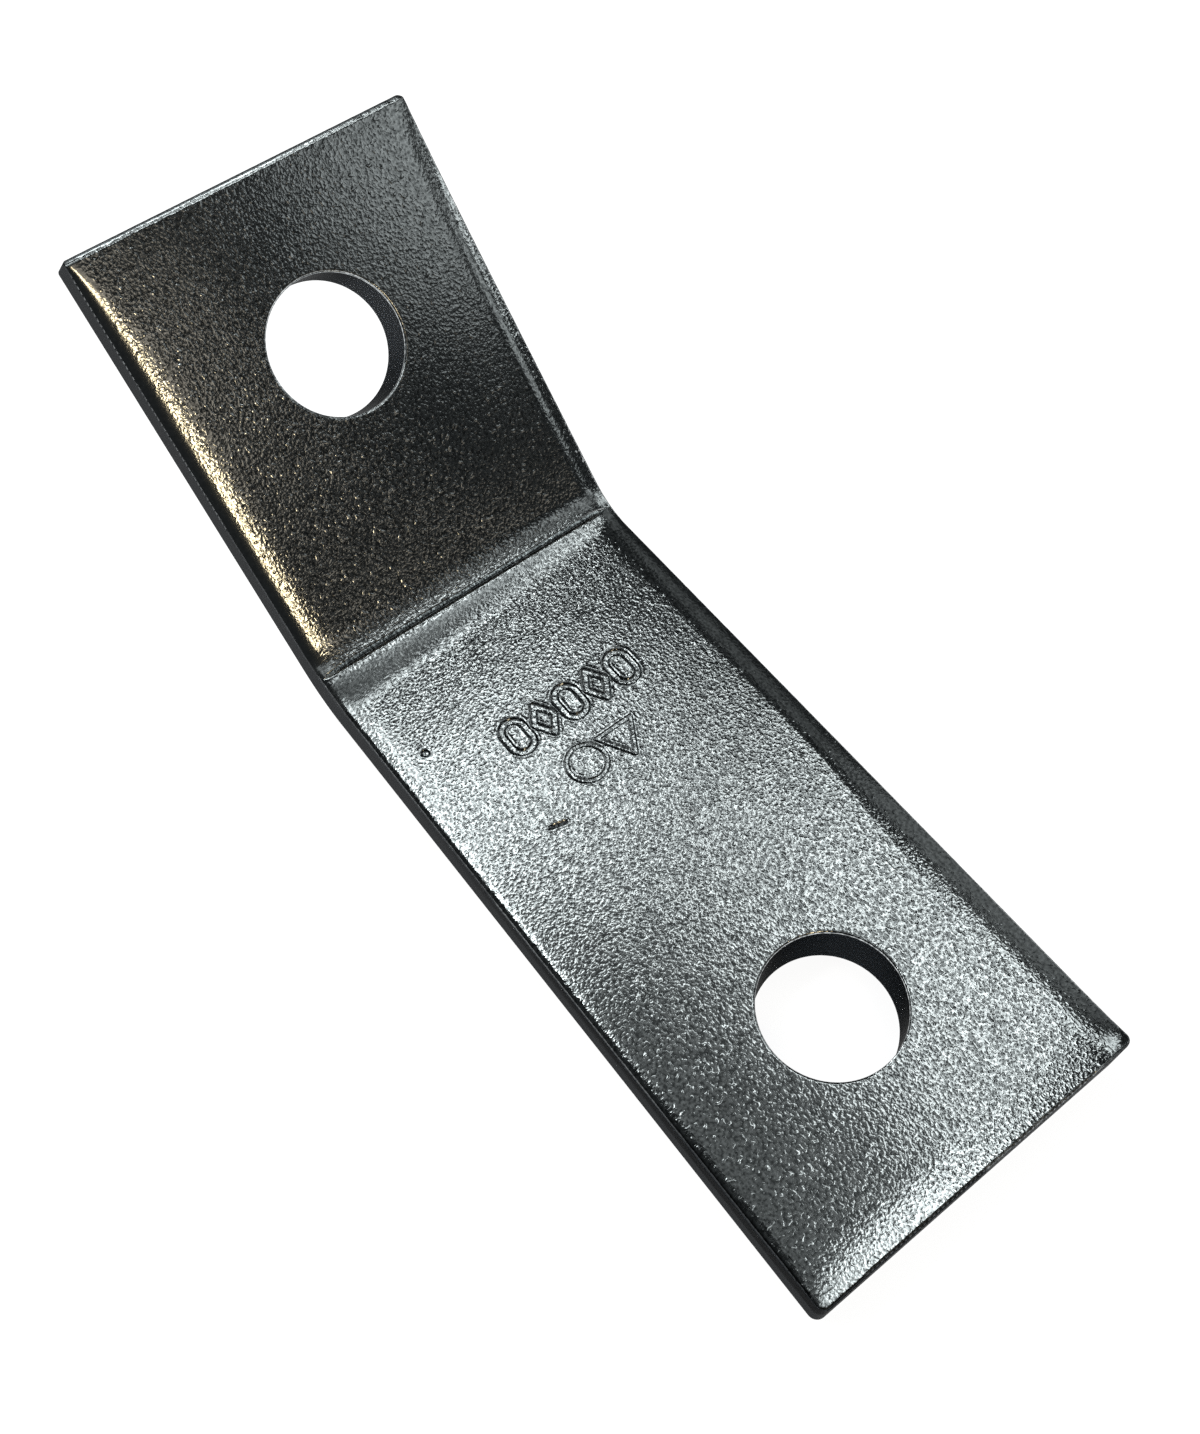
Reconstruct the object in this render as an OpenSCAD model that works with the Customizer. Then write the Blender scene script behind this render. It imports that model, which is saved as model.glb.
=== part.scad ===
// Open corner angle bracket: one length of flat bar, cropped, punched and bent to an open angle.
// The long leg lies flat on Z = 0 and runs along +X. The short leg rises towards -X.

/* [Bar] */
// Width of the flat bar
bar_width = 38.1; // [30:0.1:50]
// Thickness of the flat bar
bar_thickness = 6.35; // [4:0.05:8]

/* [Legs] */
// Long leg, from the outer corner line to its cropped end
long_leg = 80.7; // [60:0.1:140]
// Short leg, from the outer corner line to its cropped end
short_leg = 50; // [44:0.1:120]
// Angle that the short leg rises above the plane of the long leg
rise_angle = 45; // [20:1:75]
// Radius round the outside of the bend
outer_radius = 9; // [3:0.1:12]
// Radius that the bar took up by itself on the inside of the bend
inner_radius = 8; // [2:0.1:10]
// Depth of the groove that the press brake's punch left along the inside of the bend
groove_depth = 0.55; // [0.1:0.05:0.6]
// Angle of that groove
groove_angle = 70; // [60:1:110]

/* [Holes] */
// Diameter of the punched hole in each leg
hole_diameter = 14.3; // [8:0.1:16]
// Cropped end of the long leg to the centre of its hole
long_hole_back = 19.5; // [16:0.1:30]
// Cropped end of the short leg to the centre of its hole
short_hole_back = 18.3; // [16:0.1:22]
// How far the long leg's hole stands off the centre line of the bar
long_hole_side = -0.45; // [-2:0.05:2]
// How far the short leg's hole stands off the centre line of the bar
short_hole_side = 0.3; // [-2:0.05:2]
// Rounding of the rim where the punch went in
punch_round = 0.25; // [0.1:0.05:0.6]

/* [Edges] */
// Width of the rolled-over band along each long edge
roll_width = 2.3; // [1:0.1:4]
// How far that band drops at the side of the bar
roll_drop = 0.77; // [0.3:0.01:1.2]
// Slope at which the band leaves the flat face, in degrees
roll_entry = 3; // [1:0.5:8]
// Length over which the band dies out towards each cropped end
roll_fade = 7; // [5:0.5:14]
// Rounding along the upper edge of each cropped end
crop_round = 0.55; // [0.2:0.05:1]

/* [Hidden] */
$fn = 96;
// Facets on a full circle of the small rounds, of the bend's outside, and of the sweeps round the bend
small_facets = 48;
bend_facets = 180;
turn_facets = 720;
// How far a cut runs on past what it cuts
over = 1;
over_angle = 2;
steel = [0.62, 0.64, 0.65];

// Both rounds of the bend meet the legs at this small angle
bend_entry = 2;
fold = rise_angle / 2;
outer_height = outer_radius * cos(bend_entry);
outer_half = outer_height * sin(fold);
inner_centre = (bar_thickness + inner_radius * cos(bend_entry)) / cos(fold);
groove_bottom = inner_centre - inner_radius - groove_depth;
blank_width = bar_width + 2 * over;
middle_x = (long_leg - short_leg * cos(rise_angle)) / 2;

waste_depth = 2 * roll_drop;
roll_chord = norm([roll_width, roll_drop]);
roll_radius = roll_chord / (2 * sin(atan(roll_drop / roll_width) - roll_entry));
roll_centre = [
    bar_width / 2 - roll_width - roll_radius * sin(roll_entry),
    bar_thickness - roll_radius * cos(roll_entry)
];
fade_radius = (pow(roll_fade, 2) + pow(roll_drop, 2)) / (2 * roll_drop);
fade_angle = asin(roll_fade / fade_radius);

// What the shears dragged down along one long edge, seen along the bar
module roll_waste() {
    difference() {
        translate([roll_centre[0], bar_thickness - waste_depth])
            square([blank_width / 2 + over - roll_centre[0], waste_depth + over]);
        translate(roll_centre) circle(r = roll_radius);
    }
}

// The waste of both long edges
module both_rolls() {
    roll_waste();
    mirror([1, 0]) roll_waste();
}

// Section of the blank away from its ends, a little wider than the bar
module blank_section() {
    difference() {
        translate([-blank_width / 2, 0]) square([blank_width, bar_thickness]);
        both_rolls();
    }
}

// The rolled bands lift out of the face along an arc towards the cropped end
module fading_rolls(start) {
    centre_z = bar_thickness + fade_radius;
    translate([start, 0, centre_z]) rotate([-90, 90, 0])
        mirror([0, 1, 0]) rotate_extrude(angle = fade_angle + over_angle, $fn = turn_facets)
            translate([centre_z, 0]) rotate(90) both_rolls();
}

// Through hole with the rim that the punch pulled in
module punched_hole() {
    rim_radius = hole_diameter / 2 + punch_round;
    translate([0, 0, -over]) cylinder(d = hole_diameter, h = bar_thickness + 2 * over);
    translate([0, 0, bar_thickness]) rotate_extrude() difference() {
        translate([0, -punch_round]) square([rim_radius, punch_round + over]);
        translate([rim_radius, -punch_round]) circle(r = punch_round, $fn = small_facets);
    }
}

// Rounded upper edge of a cropped end
module cropped_edge(end) {
    translate([end - crop_round, blank_width / 2 + over, bar_thickness - crop_round])
        rotate([90, 0, 0]) linear_extrude(blank_width + 2 * over) difference() {
            square(crop_round + over);
            circle(r = crop_round, $fn = small_facets);
        }
}

// One leg along +X from the outer corner line, with its hole and its cropped end
module leg(length, hole_back, hole_side) {
    full = length - roll_fade;
    difference() {
        union() {
            rotate([90, 0, 90]) linear_extrude(full) blank_section();
            difference() {
                translate([full, -blank_width / 2, 0])
                    cube([roll_fade, blank_width, bar_thickness]);
                fading_rolls(full);
            }
        }
        translate([length - hole_back, hole_side, 0]) punched_hole();
        cropped_edge(length);
    }
}

// Draws an outline of the folded bar's side, and carries it across the whole blank
module across_blank() {
    rotate([90, 0, 0]) translate([0, 0, -blank_width / 2 - over])
        linear_extrude(blank_width + 2 * over) children();
}

// What the outside of the bend lacks against a sharp corner, with the corner pointing down
module outer_waste() {
    across_blank() difference() {
        translate([-outer_half, -over]) square([2 * outer_half, outer_half * tan(fold) + over]);
        translate([0, outer_height / cos(fold)]) circle(r = outer_radius, $fn = bend_facets);
    }
}

// The round on the inside of the bend, with the rolled bands carried through it
module inner_round() {
    translate([0, 0, inner_centre]) rotate([-90, 90, 0]) rotate([0, 0, -fold])
        rotate_extrude(angle = rise_angle, $fn = turn_facets)
            translate([inner_radius + bar_thickness, 0]) rotate(90) intersection() {
                blank_section();
                translate([-blank_width, bar_thickness / 2]) square([2 * blank_width, bar_thickness]);
            }
}

// The punch was straight, so its groove runs out where the rolled bands drop away
module punch_groove() {
    height = bar_thickness;
    half = height * tan(groove_angle / 2);
    across_blank() translate([0, groove_bottom]) polygon([[0, 0], [half, height], [-half, height]]);
}

// Both legs folded up by the same angle, with each side sheared off in one plane
module folded_bar() {
    reach = long_leg + short_leg;
    intersection() {
        difference() {
            union() {
                rotate([0, -fold, 0]) leg(long_leg, long_hole_back, long_hole_side);
                mirror([1, 0, 0]) rotate([0, -fold, 0])
                    leg(short_leg, short_hole_back, short_hole_side);
                inner_round();
            }
            outer_waste();
            punch_groove();
        }
        translate([-reach, -bar_width / 2, -over]) cube([2 * reach, bar_width, reach]);
    }
}

// The folded bar tipped until its long leg lies flat
module angle_bracket() {
    color(steel) translate([-middle_x, 0, 0]) rotate([0, fold, 0]) folded_bar();
}

angle_bracket();
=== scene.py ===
import math

import bpy
import numpy as np
from mathutils import Euler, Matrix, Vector, geometry


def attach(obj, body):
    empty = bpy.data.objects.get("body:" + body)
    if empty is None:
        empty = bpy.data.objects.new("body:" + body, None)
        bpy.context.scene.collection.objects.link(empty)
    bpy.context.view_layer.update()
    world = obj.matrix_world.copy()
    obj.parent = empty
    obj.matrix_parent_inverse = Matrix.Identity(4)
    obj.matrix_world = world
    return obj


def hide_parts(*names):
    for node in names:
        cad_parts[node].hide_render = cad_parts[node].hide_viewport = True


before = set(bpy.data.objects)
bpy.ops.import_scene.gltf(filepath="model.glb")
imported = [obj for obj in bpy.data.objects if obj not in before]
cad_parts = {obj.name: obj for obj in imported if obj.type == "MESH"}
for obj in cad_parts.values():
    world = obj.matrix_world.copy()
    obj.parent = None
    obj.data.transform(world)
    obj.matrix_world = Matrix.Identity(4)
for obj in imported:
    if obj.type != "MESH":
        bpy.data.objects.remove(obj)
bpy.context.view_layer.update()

# The bracket
# An open-corner angle fitting, made of one length of flat stainless steel bar. The bar is sheared along both
# sides, cropped at both ends, punched once in each leg, stamped, and bent once on a press brake.
# Lengths are in millimetres. On the flat bar U runs along it from the bend line, T across it, and Z up.
MM = 0.001
BAR_WIDTH = 38.1
BAR_THICKNESS = 6.35
LONG_LEG = 80.7
SHORT_LEG = 50.0
# Radius of the corners at each cropped end
LONG_CORNER = 1.0
SHORT_CORNER = 0.45
HOLE_RADIUS = 7.15
# Centre of each hole, along the flat bar and across it
LONG_HOLE = (61.2, -0.45)
SHORT_HOLE = (-31.7, 0.3)
HALF_WIDTH = BAR_WIDTH / 2

# Grid of the blank's upper face. Each pair is a place along the bar, or a distance from its end or side,
# and the step from there on.
END_STEPS = [(0.0, 0.05), (0.2, 0.1), (0.8, 0.3), (1.7, 0.55)]
BEND_STEPS = [(-6.0, 0.3), (-2.4, 0.1), (2.4, 0.3), (7.0, 0.55)]
FAR_END_STEPS = [(1.7, 0.3), (0.8, 0.1), (0.2, 0.05)]
SIDE_STEPS = [(0.0, 0.04), (0.2, 0.2), (5.0, 0.55)]
FAR_SIDE_STEPS = [(5.0, 0.2), (0.2, 0.04)]
# Points along the outline
OUTLINE_END_STEPS = [(0.0, 0.55)]
OUTLINE_BEND_STEPS = [(-6.0, 0.3), (-2.4, 0.15), (2.4, 0.3), (7.0, 0.55)]
OUTLINE_SIDE_STEPS = [(0.0, 0.3), (3.0, 0.55)]
OUTLINE_FAR_SIDE_STEPS = [(3.0, 0.3)]
# Grid of the underside
PLAIN_STEPS = [(0.0, 1.1)]
PLAIN_BEND_STEPS = [(-6.0, 0.5), (6.0, 1.1)]
PLAIN_MARGIN = 0.3
# Facets of a hole and of a corner, rings of points round each hole, and how clear of a hole the grid stays
HOLE_STEPS = 128
CORNER_STEPS = 9
TOP_RINGS = (0.03, 0.07, 0.12, 0.17, 0.22, 0.28, 0.4, 0.7)
PLAIN_RINGS = (0.1, 0.5)
TOP_CLEARANCE = 0.95
PLAIN_CLEARANCE = 0.9
# How far inside the sides and the corners the grid stays
SIDE_CLEARANCE = 0.01
CORNER_CLEARANCE = 0.02
# How far from a corner the outline's own points start, in radii of that corner
CORNER_ROOM = 1.2
SHORT_CORNER_ROOM = 1.5
# Points closer than this are taken as one
SAME_POINT = 1e-7
# Rows of points down the walls, as shares of the thickness
WALL_LEVELS = (0.985, 0.95, 0.88, 0.76, 0.62, 0.5, 0.38, 0.27, 0.16, 0.08, 0.03)


def spaced(stops, end):
    """Stations along a line from (start, step) pairs, up to its end."""
    stations = []
    for (start, step), stop in zip(stops, [start for start, _ in stops[1:]] + [end]):
        count = max(1, round((stop - start) / step))
        stations += [start + (stop - start) * i / count for i in range(count)]
    return stations + [end]


def graded(start, end, near, middle, far):
    """Stations from start to end, with the steps near each of them given by the distance from it."""
    stops = [(start + away, step) for away, step in near] + middle
    stops += [(end - away, step) for away, step in far]
    return spaced(stops, end)


def arc(u, t, radius, start, end, steps):
    angles = [math.radians(start + (end - start) * i / steps) for i in range(steps + 1)]
    return [(u + radius * math.cos(a), t + radius * math.sin(a)) for a in angles]


def bar_outline(along, across):
    """A point at every station and rounded corners, running anticlockwise from the short leg's end."""
    corners = (
        (LONG_LEG - LONG_CORNER, -HALF_WIDTH + LONG_CORNER, LONG_CORNER, -90),
        (LONG_LEG - LONG_CORNER, HALF_WIDTH - LONG_CORNER, LONG_CORNER, 0),
        (-SHORT_LEG + SHORT_CORNER, HALF_WIDTH - SHORT_CORNER, SHORT_CORNER, 90),
        (-SHORT_LEG + SHORT_CORNER, -HALF_WIDTH + SHORT_CORNER, SHORT_CORNER, 180),
    )
    lowest = -SHORT_LEG + SHORT_CORNER_ROOM * SHORT_CORNER
    highest = LONG_LEG - CORNER_ROOM * LONG_CORNER
    inside_u = [u for u in along if lowest < u < highest]
    inside_t = [t for t in across if abs(t) < HALF_WIDTH - CORNER_ROOM * LONG_CORNER]
    runs = (
        [(u, -HALF_WIDTH) for u in inside_u],
        [(LONG_LEG, t) for t in inside_t],
        [(u, HALF_WIDTH) for u in reversed(inside_u)],
        [(-SHORT_LEG, t) for t in reversed(inside_t)],
    )
    points = []
    for run, (u, t, radius, start) in zip(runs, corners):
        points += run
        points += arc(u, t, radius, start, start + 90, CORNER_STEPS)
    return points


def ring(centre, radius):
    turns = [2 * math.pi * i / HOLE_STEPS for i in range(HOLE_STEPS)]
    return [(centre[0] + radius * math.cos(a), centre[1] + radius * math.sin(a)) for a in turns]


def clear_of(point, room):
    """Whether a point of the face keeps its distance from both holes and from the outline."""
    u, t = point
    for centre in (LONG_HOLE, SHORT_HOLE):
        if math.dist(point, centre) < HOLE_RADIUS + room:
            return False
    corner = LONG_CORNER if u > 0 else SHORT_CORNER
    corner_u = max(u - LONG_LEG, -SHORT_LEG - u) + corner
    corner_t = abs(t) - HALF_WIDTH + corner
    if corner_u > 0 and corner_t > 0:
        return math.hypot(corner_u, corner_t) < corner - CORNER_CLEARANCE
    return max(corner_u, corner_t) < corner - SIDE_CLEARANCE


def flat_face(outline, rings, grid, room):
    """Points, triangles and borders of a face that fills the outline round both holes."""
    loops = [outline] + [ring(centre, HOLE_RADIUS) for centre in (LONG_HOLE, SHORT_HOLE)]
    points = []
    edges = []
    for loop in loops:
        first = len(points)
        points += loop
        edges += [(first + i, first + (i + 1) % len(loop)) for i in range(len(loop))]
    for centre in (LONG_HOLE, SHORT_HOLE):
        for extra in rings:
            points += ring(centre, HOLE_RADIUS + extra)
    points += [p for p in grid if clear_of(p, room)]
    found = geometry.delaunay_2d_cdt([Vector(p) for p in points], edges, [], 0, SAME_POINT)
    verts, triangles, origins = found[0], found[2], found[3]
    place = {old: new for new, olds in enumerate(origins) for old in olds}
    coords = np.array([tuple(v) for v in verts])
    triangles = np.array(triangles)
    middles = coords[triangles].mean(axis=1)
    kept = np.ones(len(triangles), bool)
    for centre in (LONG_HOLE, SHORT_HOLE):
        kept &= np.hypot(*(middles - centre).T) > HOLE_RADIUS
    counts = [len(loop) for loop in loops]
    starts = np.cumsum([0] + counts[:-1])
    borders = [[place[start + i] for i in range(count)] for start, count in zip(starts, counts)]
    return coords, triangles[kept], borders


def punched_blank(name, patches):
    """The flat bar as a closed mesh, with its finest grid where something is struck into it."""
    along = graded(-SHORT_LEG, LONG_LEG, END_STEPS, BEND_STEPS, FAR_END_STEPS)
    across = graded(-HALF_WIDTH, HALF_WIDTH, SIDE_STEPS, [], FAR_SIDE_STEPS)
    outline = bar_outline(
        graded(-SHORT_LEG, LONG_LEG, OUTLINE_END_STEPS, OUTLINE_BEND_STEPS, []),
        graded(-HALF_WIDTH, HALF_WIDTH, OUTLINE_SIDE_STEPS, [], OUTLINE_FAR_SIDE_STEPS),
    )

    def in_patch(u, t):
        return any(abs(u - pu) < hu and abs(t - pt) < ht for pu, pt, hu, ht, _ in patches)

    grid = [(u, t) for u in along for t in across if not in_patch(u, t)]
    for pu, pt, hu, ht, step in patches:
        us = spaced([(pu - hu + step / 2, step)], pu + hu - step / 2)
        ts = spaced([(pt - ht + step / 2, step)], pt + ht - step / 2)
        grid += [(u, t) for u in us for t in ts]
    plain_along = graded(-SHORT_LEG, LONG_LEG, PLAIN_STEPS, PLAIN_BEND_STEPS, [])
    plain_across = graded(-HALF_WIDTH, HALF_WIDTH, PLAIN_STEPS, [], [])
    plain_grid = [(u, t) for u in plain_along for t in plain_across if abs(t) < HALF_WIDTH - PLAIN_MARGIN]
    top, top_faces, top_borders = flat_face(outline, TOP_RINGS, grid, TOP_CLEARANCE)
    below, below_faces, below_borders = flat_face(outline, PLAIN_RINGS, plain_grid, PLAIN_CLEARANCE)

    coords = [(u, t, BAR_THICKNESS) for u, t in top]
    faces = [tuple(f) for f in top_faces]
    shift = len(coords)
    coords += [(u, t, 0.0) for u, t in below]
    faces += [tuple(int(i) + shift for i in reversed(f)) for f in below_faces]
    # The first border is the outline, and the others are the holes, whose walls face the other way
    for number, (upper, lower) in enumerate(zip(top_borders, below_borders)):
        rows = [list(upper)]
        for level in WALL_LEVELS:
            rows.append(list(range(len(coords), len(coords) + len(upper))))
            coords += [(*top[i], BAR_THICKNESS * level) for i in upper]
        rows.append([i + shift for i in lower])
        for high, low in zip(rows, rows[1:]):
            for i in range(len(high)):
                j = (i + 1) % len(high)
                face = (high[i], low[i], low[j], high[j])
                faces.append(face if number == 0 else tuple(reversed(face)))
    mesh = bpy.data.meshes.new(name)
    mesh.from_pydata([tuple(c * MM for c in co) for co in coords], [], faces)
    mesh.update()
    piece = bpy.data.objects.new(name, mesh)
    bpy.context.scene.collection.objects.link(piece)
    return piece


# Marks struck into the long leg
# A row of plain inspector's marks, small rings and lozenges, is struck deep, and a ring and a triangle more
# faintly beside it. Each is a line on the flat bar that a round-edged punch follows.
MARK_HEIGHT = 4.0
MARK_WIDTH = 2.5
MARK_PITCH = 3.37
MARK_ROW = (20.1, 0.12)
LARGE_RING = (26.9, -2.86)
LARGE_TRIANGLE = (26.6, 1.7)
LARGE_SIZE = 2.1
TRIANGLE_SIZE = 2.52
HALF_RING_STEPS = 14
LARGE_RING_STEPS = 30
# A slip of the punch and a dent
SLIP = [(30.45, -10.1), (30.85, -8.6)]
DENT = [(15.75, -15.2), (15.85, -15.1)]
# Where the blank's grid is finest: middle along and across, half the length and width, and the step
MARK_PATCH = (24.3, 0.0, 6.6, 9.6, 0.11)
SLIP_PATCH = (30.65, -9.35, 0.9, 1.4, 0.13)
DENT_PATCH = (15.8, -15.15, 0.7, 0.7, 0.1)


def long_ring(u, t):
    straight = (MARK_HEIGHT - MARK_WIDTH) / 2
    radius = MARK_WIDTH / 2
    upper = arc(u + straight, t, radius, -90, 90, HALF_RING_STEPS)
    loop = upper + arc(u - straight, t, radius, 90, 270, HALF_RING_STEPS)
    return loop + loop[:1]


def lozenge(u, t):
    a = MARK_HEIGHT / 2
    b = MARK_WIDTH / 2
    return [(u - a, t), (u, t - b), (u + a, t), (u, t + b), (u - a, t)]


def deep_marks():
    kinds = (long_ring, lozenge, long_ring, lozenge, long_ring)
    middle = len(kinds) // 2
    row = [mark(MARK_ROW[0], MARK_ROW[1] + MARK_PITCH * (middle - i)) for i, mark in enumerate(kinds)]
    return row + [DENT]


def faint_marks():
    large_ring = arc(*LARGE_RING, LARGE_SIZE, 0, 360, LARGE_RING_STEPS)
    return [large_ring, arc(*LARGE_TRIANGLE, TRIANGLE_SIZE, 0, 360, 3)]


def line_object(name, lines):
    coords = []
    edges = []
    for line in lines:
        first = len(coords)
        coords += [(u * MM, t * MM, BAR_THICKNESS * MM) for u, t in line]
        edges += [(first + i, first + i + 1) for i in range(len(line) - 1)]
    mesh = bpy.data.meshes.new(name)
    mesh.from_pydata(coords, edges, [])
    piece = bpy.data.objects.new(name, mesh)
    bpy.context.scene.collection.objects.link(piece)
    return piece


# Nodes written as sums
class Wire:
    """A socket of a node tree. Sums, products and powers of it add Math nodes to that tree."""

    def __init__(self, socket):
        self.socket = socket

    def math(self, operation, *others):
        tree = self.socket.id_data
        node = tree.nodes.new("ShaderNodeMath")
        node.operation = operation
        for plug, value in zip(node.inputs, (self, *others)):
            join(tree, plug, value)
        return Wire(node.outputs[0])

    def __add__(self, other):
        return self.math("ADD", other)

    def __mul__(self, other):
        return self.math("MULTIPLY", other)

    def __sub__(self, other):
        return self.math("SUBTRACT", other)

    def __rsub__(self, other):
        return (-self).math("ADD", other)

    def __truediv__(self, other):
        return self.math("DIVIDE", other)

    def __pow__(self, other):
        return self.math("POWER", other)

    def __neg__(self):
        return self.math("MULTIPLY", -1.0)

    __radd__ = __add__
    __rmul__ = __mul__

    def between(self, low=0.0, high=1.0):
        return self.math("MAXIMUM", low).math("MINIMUM", high)

    def rising(self, start, length):
        """From 0 at the start to 1 where the length ends."""
        return ((self - start) / length).between()

    def falling(self, end, length):
        """From 1 a length before the end to 0 at the end."""
        return ((end - self) / length).between()

    def decay(self):
        """Falls by the same share with each step: the exponential of minus the value."""
        return (-self).math("EXPONENT")


def join(tree, plug, value):
    if isinstance(value, Wire):
        tree.links.new(value.socket, plug)
    else:
        plug.default_value = value


def add_node(tree, kind, settings=None, inputs=None):
    """One node of any kind: its settings first, then a value or a wire on each named or numbered input."""
    node = tree.nodes.new(kind)
    for name, setting in (settings or {}).items():
        setattr(node, name, setting)
    for key, value in (inputs or {}).items():
        join(tree, node.inputs[key], value)
    return node


def out(node, key=0):
    return Wire(node.outputs[key])


def noise(tree, where, scale, detail, roughness=0.5):
    return out(add_node(tree, "ShaderNodeTexNoise", {"noise_dimensions": "3D"},
                        {"Vector": where, "Scale": scale, "Detail": detail, "Roughness": roughness}))


# What shaping the bar does to it
# The shears drag the bar's edges down and leave cut walls, and the hole punch pulls the rims of its holes in.
# The press brake folds the bar over a straight nose, which leaves a groove. One node tree does all of it.

# The short leg rises out of the long leg's plane at this angle, in degrees
RISE = 45.0
# Each value that follows is an input of the press brake's tree, under the same name
LENGTHS = {
    "Half width": HALF_WIDTH,
    "Thickness": BAR_THICKNESS,
    "Long end": LONG_LEG,
    "Short end": -SHORT_LEG,
    "Long corner": LONG_CORNER,
    "Short corner": SHORT_CORNER,
    # The left edge of the long leg is rolled over softly, with a steeper part at the very edge
    "Roll drop": 0.77,
    "Soft width": 1.6,
    "Soft fade": 2.4,
    "Edge width": 0.4,
    # On the short leg that edge is one wide round
    "Round width": 4.3,
    "Round fade": 5.0,
    "Round change": 3.0,
    # The right edge starts at a clear line, which moves inwards beside the bend and towards the long end
    "Firm width": 2.9,
    "Long firm fade": 1.6,
    "Short firm fade": 9.0,
    "Bend reach": 16.0,
    "Bend widening": 1.4,
    "End widening": 1.3,
    "Widening start": 40.0,
    "Widening length": 20.0,
    # The crisp upper edge, the slope along each cropped end, and how the face falls towards the long end
    "Top round": 0.12,
    "Long crop": 0.14,
    "Short crop": 0.48,
    "Crop blend": 0.18,
    "End ease": 4.5,
    "End drop": 0.2,
    # The punched holes and the struck marks
    "Hole radius": HOLE_RADIUS,
    "Rim round": 0.25,
    "Strike width": 0.45,
    "Strike depth": 0.22,
    "Strike lip": 0.04,
    "Faint width": 0.3,
    # The bend, which is tighter towards the right edge on its inside, and the groove of the punch along it
    "Outside radius": 9.0,
    "Inside radius": 10.0,
    "Middle": (LONG_LEG - SHORT_LEG * math.cos(math.radians(RISE))) / 2,
    "Groove depth": 0.56,
    "Groove shift": -0.3,
    "Groove shoulder": 0.3,
    "Groove corner": 0.06,
    # Painted shade darkens the left wall past a place along the long leg, and past another it runs over the
    # wall's edge
    "Shade start": 15.0,
    "Shade length": 30.0,
    "Smear width": 0.4,
    "Smear blur": 0.2,
    "Smear start": 54.0,
    "Smear length": 8.0,
}
SHARES = {
    # The steep part's share of the soft edge's drop, and of the round edge's
    "Edge share": 0.6,
    "Corner share": 0.17,
    # How sharply the round and the firm edges turn down, and how much more so the firm one on the short leg
    "Round power": 2.2,
    "Firm power": 1.5,
    "Short easing": 0.8,
    # How steep the slope along each cropped end is, and how ragged its upper edge
    "Crop slope": 1.4,
    "Crop raggedness": 0.3,
    # Waves per metre of the ragged edges, and how far they swing
    "Ragged scale": 1100.0,
    "Ragged share": 0.9,
    # A hole's wall counts as such up to this many of its radii
    "Hole margin": 1.01,
    # The side of a struck line and the lip beside it, in widths of the line
    "Strike wall": 0.5,
    "Lip place": 1.25,
    "Lip width": 0.3,
    # How deep the faint marks are against the others
    "Faint share": 0.6,
    # How fast the inside of the bend tightens towards the right edge
    "Inside taper": 0.14,
    # How sharply a cut wall meets the faces, and how far it counts over the rounded edges
    "Wall sharpness": 60.0,
    "Edge reach": 1.4,
    "Edge blur": 0.7,
    "Crop reach": 0.7,
    "Crop blur": 0.5,
    # How dark the painted shade makes the struck lines, the left wall, the rim beside it, the short leg's
    # hole and the groove
    "Line shade": 0.9,
    "Shade height": 0.55,
    "Shade sharpness": 5.0,
    "Wall shade": 0.9,
    "Smear shade": 0.95,
    "Short hole shade": 0.35,
    "Groove shade start": 0.6,
    "Groove shade": 0.7,
}
# In degrees: how far each leg is folded up, how steep the groove's sides are, and how far it is out of square
ANGLES = {"Fold": RISE / 2, "Groove slope": 35.0, "Groove skew": 0.85}
# A little over one, so that a fading width is never zero at the very end of the bar
FULL_FADE = 1.001
SOCKET_KINDS = (
    (float, "NodeSocketFloat"),
    (tuple, "NodeSocketVector"),
    (bpy.types.Object, "NodeSocketObject"),
    (bpy.types.Material, "NodeSocketMaterial"),
)


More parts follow.
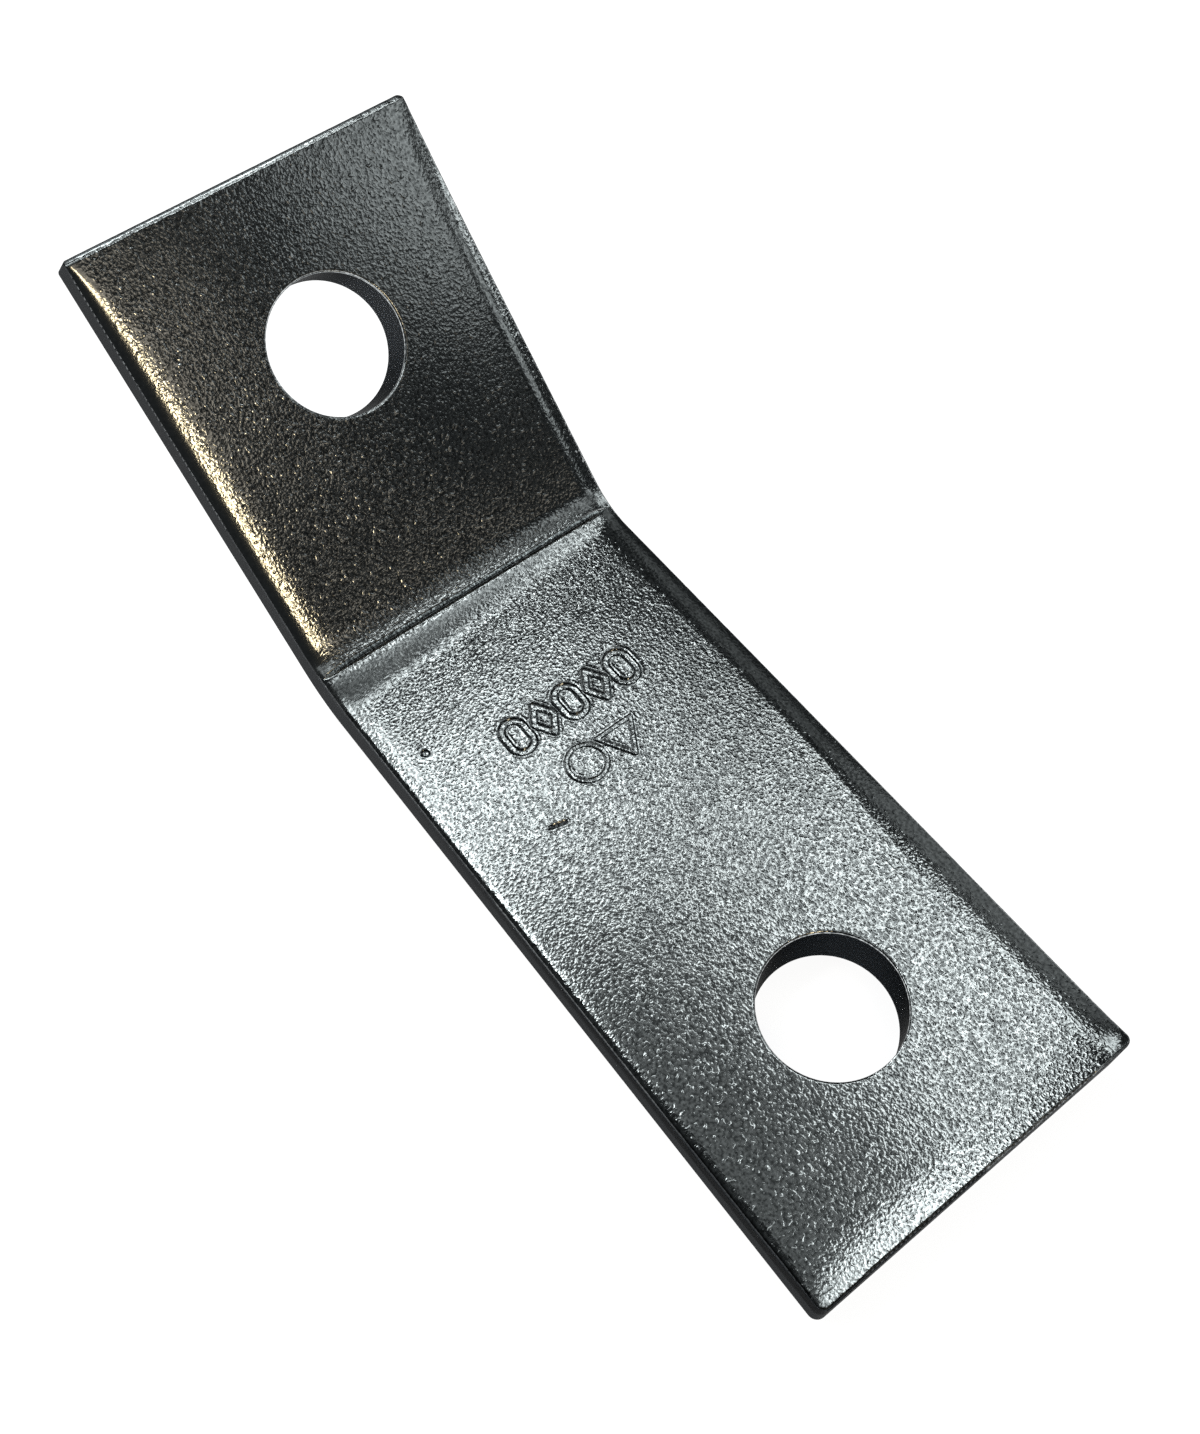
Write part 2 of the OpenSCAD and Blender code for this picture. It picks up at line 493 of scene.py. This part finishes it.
def press_brake(name, sizes):
    """The tree that shears, punches, stamps and bends a flat blank, with an input for each named size."""
    tree = bpy.data.node_groups.new(name, "GeometryNodeTree")
    tree.interface.new_socket("Blank", in_out="INPUT", socket_type="NodeSocketGeometry")
    tree.interface.new_socket("Bracket", in_out="OUTPUT", socket_type="NodeSocketGeometry")
    plugs = {}
    for label, value in sizes.items():
        kind = next(kind for sort, kind in SOCKET_KINDS if isinstance(value, sort))
        plugs[label] = tree.interface.new_socket(label, in_out="INPUT", socket_type=kind).identifier
    entry = tree.nodes.new("NodeGroupInput")

    def given(label):
        return Wire(entry.outputs[label])

    where = out(add_node(tree, "GeometryNodeInputPosition"))
    place = add_node(tree, "ShaderNodeSeparateXYZ", {}, {0: where})
    u, t, z = (out(place, i) for i in range(3))
    thickness = given("Thickness")
    height = z / thickness
    upper = height.math("GREATER_THAN", 0.5)
    right = t.math("GREATER_THAN", 0.0)
    on_long = u.math("GREATER_THAN", 0.0)

    def by_leg(label):
        """A size that the long leg and the short leg each have their own value of."""
        return given("Short " + label) + on_long * (given("Long " + label) - given("Short " + label))

    from_side = given("Half width") - t.math("ABSOLUTE")
    from_end = (given("Long end") - u).math("MINIMUM", u - given("Short end"))
    corner = by_leg("corner")
    past_side = (corner - from_side).math("MAXIMUM", 0.0)
    past_end = (corner - from_end).math("MAXIMUM", 0.0)
    from_rim = corner - (past_side * past_side + past_end * past_end).math("SQRT")

    # The shears drag the upper edges of the bar down, less and less towards its ends
    def fading(length):
        return FULL_FADE - (from_end / length).decay()

    soft = fading(given("Soft fade"))
    far = (from_side / (given("Soft width") * soft)).decay()
    near = (from_side / (given("Edge width") * soft)).decay()
    soft_drop = soft * soft * (far + given("Edge share") * (near - far))
    grown = fading(given("Round fade"))
    round_lack = (1 - from_side / (given("Round width") * grown)).math("MAXIMUM", 0.0)
    round_drop = grown * round_lack ** given("Round power") * (1 - given("Corner share"))
    round_drop = round_drop + given("Corner share") * (from_side / given("Edge width")).decay()
    beyond = (-u / given("Round change")).between()
    left_drop = soft_drop + beyond * (round_drop - soft_drop)
    by_bend = ((u / given("Bend reach")) ** 2.0).decay()
    by_end = u.rising(given("Widening start"), given("Widening length"))
    wide = given("Firm width") + by_bend * given("Bend widening") + by_end * given("End widening")
    lack = (1 - from_side / wide).math("MAXIMUM", 0.0)
    power = given("Firm power") + by_bend + beyond * given("Short easing")
    right_drop = fading(by_leg("firm fade")) * lack ** power
    drop = given("Roll drop") * (left_drop + right * (right_drop - left_drop))

    # The crisp edge between the face and each side is a small round
    def rounded(distance, radius):
        short = (radius - distance).between(0.0, radius)
        return radius - (radius * radius - short * short).math("MAXIMUM", 0.0).math("SQRT")

    ragged = 1 + (noise(tree, where, given("Ragged scale"), 2.0, 0.6) - 0.5) * given("Ragged share") * 2
    drop = drop + rounded(from_rim, given("Top round") * ragged)

    # Each cropped end has a narrow slope along its upper edge
    crop = by_leg("crop")
    slope = crop * (1 + (ragged - 1) * given("Crop raggedness")) - from_end
    drop = drop + slope.math("SMOOTH_MAX", 0.0, given("Crop blend")) * given("Crop slope")
    eased = (given("End ease") - (given("Long end") - u)).math("MAXIMUM", 0.0) / given("End ease")
    drop = drop + given("End drop") * eased * eased

    # The punch pulled a round rim down into each hole
    flat = out(add_node(tree, "ShaderNodeCombineXYZ", {}, {0: u, 1: t}))
    punched = 0.0 * u
    for label in ("Long hole", "Short hole"):
        away = out(add_node(tree, "ShaderNodeVectorMath", {"operation": "DISTANCE"},
                            {0: flat, 1: given(label)}), "Value")
        drop = drop + rounded((away - given("Hole radius")).math("MAXIMUM", 0.0), given("Rim round"))
        punched = punched + away.math("LESS_THAN", given("Hole radius") * given("Hole margin"))

    # Marks are struck with a round-edged punch that raises a lip on both sides of each line
    def struck(label, width, share):
        lines = add_node(tree, "GeometryNodeObjectInfo", {}, {"Object": given(label)})
        nearest = add_node(tree, "GeometryNodeProximity", {"target_element": "EDGES"},
                           {0: out(lines, "Geometry")})
        away = out(nearest, "Distance") / width
        wall = ((1 - away) / given("Strike wall")).between()
        hollow = wall * wall * (3 - 2 * wall)
        lip = (((away - given("Lip place")) / given("Lip width")) ** 2.0).decay()
        change = (given("Strike depth") * hollow - given("Strike lip") * lip) * share
        return change, 4 * wall * (1 - wall), hollow

    deep_change, deep_line, _ = struck("Deep marks", given("Strike width"), 1.0)
    faint_change, faint_line, _ = struck("Faint marks", given("Faint width"), given("Faint share"))
    slip_change, _, slip_hollow = struck("Slips", given("Faint width"), given("Faint share"))
    drop = drop + deep_change + faint_change + slip_change
    z = z - drop * height

    # The press brake folds both legs up by the same angle, round one radius inside and another outside
    fold = given("Fold")

    def folded(radius, level):
        centre = (level + radius) / fold.math("COSINE")
        reach = (level + radius) * fold.math("TANGENT")
        held = u.between(-reach, reach)
        turn = held / reach * fold
        slide = u - held
        sine = turn.math("SINE")
        cosine = turn.math("COSINE")
        return radius * sine + slide * cosine, centre - radius * cosine + slide * sine

    low_x, low_z = folded(given("Outside radius"), 0.0)
    inside = given("Inside radius") - t * given("Inside taper")
    high_x, high_z = folded(inside, thickness)
    part = z / thickness
    x = low_x + (high_x - low_x) * part
    z = low_z + (high_z - low_z) * part

    # The nose of its punch leaves a straight groove
    bottom = (thickness + inside) / fold.math("COSINE") - inside - given("Groove depth")
    side = x - given("Groove shift") - t * given("Groove skew").math("TANGENT")
    flank = bottom + side.math("ABSOLUTE") / given("Groove slope").math("TANGENT")
    on_right_flank = side.math("GREATER_THAN", 0.0)
    shoulder = given("Groove corner") + on_right_flank * (given("Groove shoulder") - given("Groove corner"))
    grooved = z.math("SMOOTH_MIN", flank, shoulder)
    depth_in = (z - grooved) / given("Groove depth") * height

    # The bracket is tipped until its long leg lies flat
    cosine = fold.math("COSINE")
    sine = fold.math("SINE")
    lying = out(add_node(tree, "ShaderNodeCombineXYZ", {}, {
        0: x * cosine + grooved * sine - given("Middle"), 1: t, 2: grooved * cosine - x * sine}))

    # The cut walls, and the painted shade on them, in the holes, in the groove and in the struck lines, are
    # kept for the steel
    steepness = given("Wall sharpness")
    wall = ((1 - height) * steepness).math("MINIMUM", 1.0) * (height * steepness).math("MINIMUM", 1.0)
    edge = given("Top round")
    side_edge = (edge * given("Edge reach") - from_rim) / (edge * given("Edge blur"))
    end_edge = (crop * given("Crop reach") - from_end) / (edge * given("Crop blur"))
    wall = wall.math("MAXIMUM", side_edge.math("MAXIMUM", end_edge).math("MINIMUM", 1.0) * upper)
    # Painted shade in the struck lines, in the groove and in the holes, whose walls are also duller broken
    # steel
    lines = (deep_line + faint_line + slip_hollow).math("MINIMUM", 1.0) * given("Line shade") * upper
    sharpness = given("Shade sharpness")
    # Painted shade on the upper part of the left wall along the long leg, and on the face's rim beside it
    # near the long end
    wall_dimming = ((height - given("Shade height")) * sharpness).between(0.0, given("Wall shade")) * wall
    wall_dimming = wall_dimming * u.rising(given("Shade start"), given("Shade length")) * (1 - right)
    rim_dimming = from_rim.falling(given("Smear width"), given("Smear blur")) * upper * (1 - right)
    rim_dimming = rim_dimming * u.rising(given("Smear start"), given("Smear length")) * given("Smear shade")
    hole = punched * wall * (given("Short hole shade") + (1 - given("Short hole shade")) * on_long)
    groove = ((depth_in - given("Groove shade start")) * sharpness).math("MINIMUM", given("Groove shade"))
    shade_mask = hole.math("MAXIMUM", groove)
    for other in (lines, wall_dimming, rim_dimming):
        shade_mask = shade_mask.math("MAXIMUM", other)

    kept = given("Blank")
    for label, kind, value in (
        ("along_bar", "FLOAT_VECTOR", where), ("cut_wall", "FLOAT", wall), ("dark_wall", "FLOAT", shade_mask),
    ):
        kept = out(add_node(tree, "GeometryNodeStoreNamedAttribute", {"data_type": kind, "domain": "POINT"},
                            {"Geometry": kept, "Name": label, "Value": value}))
    bent = add_node(tree, "GeometryNodeSetPosition", {}, {"Geometry": kept, "Position": lying})
    smooth = add_node(tree, "GeometryNodeSetShadeSmooth", {}, {"Geometry": out(bent)})
    real = add_node(tree, "GeometryNodeRealizeInstances", {}, {"Geometry": out(smooth)})
    dressed = add_node(tree, "GeometryNodeSetMaterial", {},
                       {"Geometry": out(real), "Material": given("Steel")})
    add_node(tree, "NodeGroupOutput", {}, {0: out(dressed)})
    return tree, plugs


# Tumbled stainless steel
# Tumbling and pickling leave a fine sparkling grain on the faces.
# The steel is duller where the bar was cut, punched and pressed, and its cut walls are a darker grey. Painted
# shade darkens the cut walls further, and the holes, the groove, the struck lines, the left edge, the wedge
# beside the crease and the long leg's right corner.
FACE_COLOUR = (0.87, 0.91, 0.92, 1.0)
# Dark of the grain's pits, and also the colour of the painted shade beside the crease and at the right corner
PIT_AND_SHADE_COLOUR = (0.24, 0.255, 0.26, 1.0)
# The cut walls' own duller grey, made darker still as painted shade
CUT_STEEL_AND_SHADE_COLOUR = (0.10, 0.105, 0.11, 1.0)
# Colour of the painted shade in the holes, the groove, the struck lines and on the left wall and its rim
PAINTED_SHADE_COLOUR = (0.035, 0.038, 0.041, 1.0)
# Tint of what is mirrored at a grazing angle
EDGE_TINT = (0.2, 0.2, 0.2, 1.0)
# Waves per metre of the grain, the finer specks on it, the peel under it and the clouding of its gloss
GRAIN_SCALE = 3200.0
SPECK_SCALE = 2400.0
PEEL_SCALE = 800.0
CLOUD_SCALE = 90.0
# How strongly the grain shows in colour, and the level of its waves above which a speck stands out
GRAIN_CONTRAST = 4.2
SPECK_FLOOR = 0.64
# How far the grain, the peel and the specks stand out, as shares of a depth in metres
GRAIN_BUMP = 0.9
PEEL_BUMP = 0.15
SPECK_BUMP = 2.7
BUMP_DEPTH = 0.00004
# The punch of the press brake flattens the grain beside its groove, over a ragged wedge on the long leg.
# It reaches so far from the bend line at the middle of the bar, and less towards the right edge.
LAND_MIDDLE = 3.6
LAND_TAPER = 0.19
LAND_BLUR = 2.4
LAND_FLATTENING = 0.4
# Where the wedge starts beside the groove, and how far it takes to grow
GROOVE_SIDE = (0.5, 0.4)
# Waves per metre of its ragged border, and how far they swing
RAGGED_SCALE = 700.0
RAGGED_SWING = 1.2
# Painted shade darkens the wedge and a border round it, beside the crease
DIMMING_MARGIN = 2.2
DIMMING_BLUR = 3.0
DIMMING_SHARE = 0.6
# Fine streaks are drawn along the groove on its other side, on the short leg
STREAK_MIDDLE = -2.5
STREAK_REACH = 2.5
STREAK_SCALE = 4200.0
STREAK_STRETCH = (1.0, 0.18, 1.0)
STREAK_BUMP = 0.4
LAND_STREAK_BUMP = 0.15
# Where the grain is calmer. Each pair is where that starts and how far it takes to grow, and each share is
# how much calmer it gets: near the bend, on the rolled band of the right edge, at the brink of the left edge,
# on the right half of the short leg, which was stretched, and on the worn left half of the long leg's end.
CALM_REACH = 20.0
CALM_START = (8.0, 6.0)
CALM_SHARE = 0.4
ROLLED_START = (14.5, 3.5)
SHORT_ROLLED_SHARE = 0.45
LONG_ROLLED_MORE = 0.15
BRINK_START = 17.0
LONG_BRINK_SHIFT = 1.3
BRINK_LENGTH = 1.0
BRINK_SHARE = 0.85
STRETCHED_START = (8.0, 10.0)
STRETCHED_SLANT = 0.55
STRETCHED_SHARE = 0.45
WORN_START = (45.0, 20.0)
WORN_SIDE = (6.0, 12.0)
WORN_SHARE = 0.35
# Painted shade darkens the long leg's right corner
CORNER_DIMMING_START = (74.0, 4.0)
CORNER_DIMMING_SIDE = (15.0, 2.5)
CORNER_DIMMING_SHARE = 0.8
# Roughness of the bare face, and what the clouding, a cut wall, the wedge and the streaks add
FACE_ROUGHNESS = 0.08
CLOUD_ROUGHNESS = 0.08
CUT_ROUGHNESS = 0.3
LAND_ROUGHNESS = 0.12
STREAK_ROUGHNESS = 0.1


def tumbled_steel(name):
    material = bpy.data.materials.new(name)
    material.use_nodes = True
    tree = material.node_tree
    tree.nodes.clear()
    spot = out(add_node(tree, "ShaderNodeTexCoord"), "Object")
    flat = out(add_node(tree, "ShaderNodeAttribute", {"attribute_name": "along_bar"}), "Vector")
    wall = out(add_node(tree, "ShaderNodeAttribute", {"attribute_name": "cut_wall"}), "Fac")
    shade_mask = out(add_node(tree, "ShaderNodeAttribute", {"attribute_name": "dark_wall"}), "Fac")
    place = add_node(tree, "ShaderNodeSeparateXYZ", {}, {0: flat})
    u = out(place, 0)
    t = out(place, 1)
    long_part = u.math("GREATER_THAN", 0.0)

    def grown(value, span):
        return value.rising(span[0] * MM, span[1] * MM)

    land = LAND_MIDDLE * MM - t * LAND_TAPER
    ragged = u + (noise(tree, flat, RAGGED_SCALE, 2.0) - 0.5) * (RAGGED_SWING * MM)
    beside = grown(ragged, GROOVE_SIDE)
    pressed = ((land - ragged) / (LAND_BLUR * MM)).between() * beside
    # Painted shade over the wedge beside the crease and at the long leg's right corner
    painted_dimming = ((land + DIMMING_MARGIN * MM - ragged) / (DIMMING_BLUR * MM)).between() * beside
    corner_dimming = grown(u, CORNER_DIMMING_START) * grown(t, CORNER_DIMMING_SIDE)
    painted_dimming = painted_dimming.math("MAXIMUM", corner_dimming * CORNER_DIMMING_SHARE)
    streaked = (1 - (u - STREAK_MIDDLE * MM).math("ABSOLUTE") / (STREAK_REACH * MM)).math("MAXIMUM", 0.0)
    drawn = add_node(tree, "ShaderNodeVectorMath", {"operation": "MULTIPLY"}, {0: flat, 1: STREAK_STRETCH})
    streaks = noise(tree, out(drawn), STREAK_SCALE, 1.0)

    calm = CALM_SHARE * ((u / (CALM_REACH * MM)) ** 2.0).decay() * grown(u, CALM_START)
    rolled = grown(t, ROLLED_START) * (SHORT_ROLLED_SHARE + LONG_ROLLED_MORE * long_part)
    brink = grown(-t - LONG_BRINK_SHIFT * MM * long_part, (BRINK_START, BRINK_LENGTH)) * BRINK_SHARE
    stretched = grown(t - u * STRETCHED_SLANT, STRETCHED_START) * u.math("LESS_THAN", 0.0) * STRETCHED_SHARE
    worn = grown(u, WORN_START) * t.falling(WORN_SIDE[0] * MM, WORN_SIDE[1] * MM) * WORN_SHARE
    for other in (rolled, brink, stretched, worn):
        calm = calm.math("MAXIMUM", other)
    lively = 1 - calm

    grain = noise(tree, spot, GRAIN_SCALE, 1.0) - 0.5
    peel = noise(tree, spot, PEEL_SCALE, 1.0) - 0.5
    cloud = noise(tree, spot, CLOUD_SCALE, 3.0)
    specks = (noise(tree, spot, SPECK_SCALE, 0.0) - SPECK_FLOOR).math("MAXIMUM", 0.0)
    # Grain sets the face's colour; painted shade then darkens the crease's wedge, the right corner, the cut
    # walls and the shaded places
    colour = PIT_AND_SHADE_COLOUR
    for share, over in (
        (grain * lively * GRAIN_CONTRAST + 0.5, FACE_COLOUR), (painted_dimming * DIMMING_SHARE, PIT_AND_SHADE_COLOUR),
        (wall, CUT_STEEL_AND_SHADE_COLOUR), (shade_mask, PAINTED_SHADE_COLOUR),
    ):
        colour = out(add_node(tree, "ShaderNodeMix", {"data_type": "RGBA"},
                              {"Factor": share, "A": colour, "B": over}), "Result")
    height = (grain * GRAIN_BUMP + peel * PEEL_BUMP + specks * SPECK_BUMP) * (1 - pressed * LAND_FLATTENING)
    height = height * lively + streaks * (streaked * STREAK_BUMP + pressed * LAND_STREAK_BUMP)
    roughness = FACE_ROUGHNESS + cloud * CLOUD_ROUGHNESS + wall * CUT_ROUGHNESS
    roughness = roughness + pressed * LAND_ROUGHNESS + streaked * STREAK_ROUGHNESS
    bump = add_node(tree, "ShaderNodeBump", {}, {"Strength": 1.0, "Distance": BUMP_DEPTH, "Height": height})
    shader = add_node(tree, "ShaderNodeBsdfPrincipled", {}, {
        "Base Color": colour,
        "Metallic": 1.0,
        "Specular Tint": EDGE_TINT,
        "Roughness": roughness,
        "Normal": out(bump),
    })
    add_node(tree, "ShaderNodeOutputMaterial", {}, {"Surface": out(shader)})
    return material


# Shaping the blank into the bracket
# The flat steel blank goes through the press brake's tree once. What comes out is kept as one plain mesh,
# which stands for the bracket's solid.
deep = line_object("deep_marks", deep_marks())
faint = line_object("faint_marks", faint_marks())
slips = line_object("slips", [SLIP])
blank = punched_blank("blank", (MARK_PATCH, SLIP_PATCH, DENT_PATCH))
sizes = {label: length * MM for label, length in LENGTHS.items()}
sizes.update(SHARES)
sizes.update({label: math.radians(angle) for label, angle in ANGLES.items()})
sizes.update({
    "Long hole": (LONG_HOLE[0] * MM, LONG_HOLE[1] * MM, 0.0),
    "Short hole": (SHORT_HOLE[0] * MM, SHORT_HOLE[1] * MM, 0.0),
    "Deep marks": deep,
    "Faint marks": faint,
    "Slips": slips,
    "Steel": tumbled_steel("tumbled_stainless_steel"),
})
tree, plugs = press_brake("press_brake", sizes)
press = blank.modifiers.new("press", "NODES")
press.node_group = tree
for label, value in sizes.items():
    press[plugs[label]] = value
bpy.context.view_layer.update()
seen = blank.evaluated_get(bpy.context.evaluated_depsgraph_get())
mesh = bpy.data.meshes.new_from_object(seen)
bracket = bpy.data.objects.new("bent_bracket", mesh)
bpy.context.scene.collection.objects.link(bracket)
for spent in (blank, deep, faint, slips):
    bpy.data.objects.remove(spent)
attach(bracket, "root")
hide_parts("angle_bracket")

# The floor
# A plain pale sheet of paper that the bracket lies on, wide enough to fill the view.
# It is lit evenly enough to come out almost white.
FLOOR_SIZE = 3.0
FLOOR_COLOUR = (0.6, 0.6, 0.6, 1.0)
FLOOR_ROUGHNESS = 0.9
FLOOR_GLOW = 0.9
floor_mesh = bpy.data.meshes.new("floor")
reach = FLOOR_SIZE / 2
floor_corners = [(-reach, -reach, 0), (reach, -reach, 0), (reach, reach, 0), (-reach, reach, 0)]
floor_mesh.from_pydata(floor_corners, [], [(0, 1, 2, 3)])
floor = bpy.data.objects.new("floor", floor_mesh)
bpy.context.scene.collection.objects.link(floor)
paper = bpy.data.materials.new("pale_sheet")
paper.use_nodes = True
paper.node_tree.nodes.clear()
sheet = add_node(paper.node_tree, "ShaderNodeBsdfPrincipled", {}, {
    "Base Color": FLOOR_COLOUR, "Roughness": FLOOR_ROUGHNESS,
    "Emission Color": (1.0, 1.0, 1.0, 1.0), "Emission Strength": FLOOR_GLOW})
add_node(paper.node_tree, "ShaderNodeOutputMaterial", {}, {"Surface": out(sheet)})
floor.data.materials.append(paper)

# The light
# Soft lamps stand where their reflections fall on the bracket as they do in the photograph.
# A faint glow of the air fills what they leave dark.
AIR_COLOUR = (0.6, 0.66, 0.68, 1.0)
AIR_GLOW = 0.03
DAYLIGHT = (0.95, 1.0, 0.99)
WALL_LIGHT = (1.0, 0.88, 0.72)
LAMPLIGHT = (1.0, 0.80, 0.50)
world = bpy.data.worlds.new("studio")
world.use_nodes = True
air = world.node_tree.nodes["Background"]
air.inputs["Color"].default_value = AIR_COLOUR
air.inputs["Strength"].default_value = AIR_GLOW
bpy.context.scene.world = world


def soft_panel(name, place, turn, size, glow, colour):
    """A rectangular lamp with its brightness per area given."""
    lamp = bpy.data.lights.new(name, "AREA")
    lamp.shape = "RECTANGLE"
    lamp.size, lamp.size_y = size
    lamp.energy = glow * math.pi * size[0] * size[1]
    lamp.color = colour
    holder = bpy.data.objects.new(name, lamp)
    holder.location = place
    holder.rotation_euler = turn
    bpy.context.scene.collection.objects.link(holder)


# Panels that hang level, each with its middle along X and Y
PANEL_HEIGHT = 1.0
for name, across, size, glow in (
    ("window_near", (-0.45, -0.53), (0.155, 0.52), 3.9),
    ("window_far", (-0.45, 0.04), (0.155, 0.62), 1.9),
    ("window_corner", (-0.92, 0.42), (0.22, 0.22), 4.0),
    ("window_edge", (-0.61, -0.04), (0.155, 0.155), 1.9),
    ("curtain", (-0.845, -0.43), (0.31, 0.62), 0.9),
    ("curtain_near", (-0.61, -0.74), (0.155, 0.31), 1.2),
    ("curtain_far", (-0.30, -0.40), (0.155, 0.31), 0.5),
    ("ceiling_dim", (-0.14, 0.20), (0.35, 0.20), 0.09),
    ("ceiling_low", (-0.13, -0.10), (0.30, 0.40), 0.10),
    ("ceiling_end", (-0.05, 0.74), (0.26, 0.24), 1.5),
    ("ceiling_side", (-0.13, 0.40), (0.42, 0.155), 1.5),
    ("ceiling_middle", (0.245, 0.27), (0.31, 0.155), 2.1),
    ("ceiling_strip", (0.17, -0.12), (0.155, 0.62), 0.73),
    ("ceiling_near", (0.22, -0.70), (0.31, 0.31), 0.35),
):
    soft_panel(name, (*across, PANEL_HEIGHT), (0.0, 0.0, 0.0), size, glow, DAYLIGHT)

# Panels on stands that face the bracket, each with its height and its bearing in degrees
for name, height, bearing, size, glow, colour in (
    ("wall_behind", 13, 92, (0.43, 0.20), 1.45, DAYLIGHT),
    ("wall_side", 24, 73, (0.20, 0.20), 0.95, DAYLIGHT),
    ("wall_high", 36, 98, (0.25, 0.25), 0.13, DAYLIGHT),
    ("wall_far", 34, 117, (0.25, 0.25), 0.06, DAYLIGHT),
    ("wall_corner", 29, 53, (0.20, 0.20), 0.35, DAYLIGHT),
    ("wall_near", 46, 42, (0.35, 0.20), 0.35, DAYLIGHT),
    ("wall_right", 24, 14, (0.60, 0.20), 0.20, WALL_LIGHT),
    ("wall_warm", 48, -2, (0.36, 0.20), 0.30, WALL_LIGHT),
    ("warm_lamp", 40, -16, (0.12, 0.27), 4.8, LAMPLIGHT),
    ("window_low", 24, 170, (0.30, 0.15), 9.0, DAYLIGHT),
):
    up = math.radians(height)
    round_z = math.radians(bearing)
    place = (math.cos(up) * math.cos(round_z), math.cos(up) * math.sin(round_z), math.sin(up))
    soft_panel(name, place, (math.pi / 2 - up, 0.0, math.pi / 2 + round_z), size, glow, colour)

# The camera
# It looks down on the bracket as the photograph does.
# Its focal length and the centre of its view are in pixels of that image, and its turn is in degrees.
IMAGE_WIDTH = 1200
IMAGE_HEIGHT = 1434
FOCAL_PIXELS = 1437.4
VIEW_CENTRE = (622.4, 732.6)
SENSOR = 36.0
NEAREST = 0.005
CAMERA_PLACE = (0.060982, -0.040385, 0.135245)
CAMERA_TURN = (28.92401, 0.80134, 51.99944)
camera_data = bpy.data.cameras.new("camera")
camera_data.sensor_fit = "HORIZONTAL"
camera_data.sensor_width = SENSOR
camera_data.lens = FOCAL_PIXELS * SENSOR / IMAGE_WIDTH
camera_data.shift_x = (IMAGE_WIDTH / 2 - VIEW_CENTRE[0]) / IMAGE_WIDTH
camera_data.shift_y = (VIEW_CENTRE[1] - IMAGE_HEIGHT / 2) / IMAGE_WIDTH
camera_data.clip_start = NEAREST
camera = bpy.data.objects.new("camera", camera_data)
camera.location = CAMERA_PLACE
camera.rotation_euler = Euler([math.radians(angle) for angle in CAMERA_TURN])
bpy.context.scene.collection.objects.link(camera)
bpy.context.scene.camera = camera
bpy.context.scene.view_settings.view_transform = "Standard"
# The grain is finer than a pixel's noise, so it isn't smoothed away
bpy.context.scene.cycles.use_denoising = False
